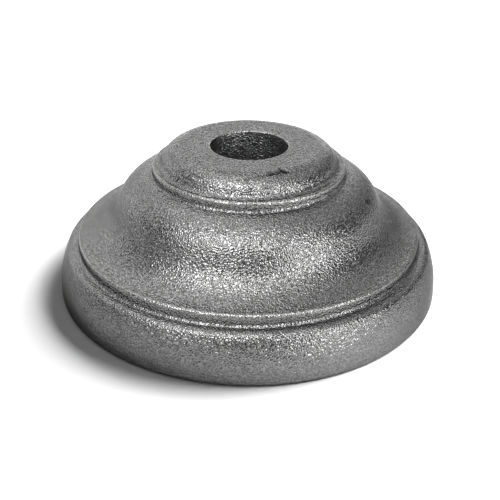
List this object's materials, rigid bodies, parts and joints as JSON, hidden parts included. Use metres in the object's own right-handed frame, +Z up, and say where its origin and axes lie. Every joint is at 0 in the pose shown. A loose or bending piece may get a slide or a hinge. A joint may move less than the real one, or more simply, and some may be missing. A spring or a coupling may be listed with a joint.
{
  "type": "round base flange",
  "caption": "Round cast iron base flange: a stepped ogee bell on a crowned base band, with a plain vertical bore through its flat top and a hollow underside.",
  "frame": {"origin": "on the casting's axis, at the floor that its bottom ring stands on", "axes": "+Z up along the axis of the casting and its bore; X and Y are equal, because the casting is turned about Z"},
  "size_m": [0.1016, 0.1016, 0.038],
  "materials": {
    "cast_iron": "as cast and shot-blasted, bare grey iron with a fine sandy grain"
  },
  "bodies": {
    "root": {"flange_casting": "cast_iron"}
  },
  "joints": []
}
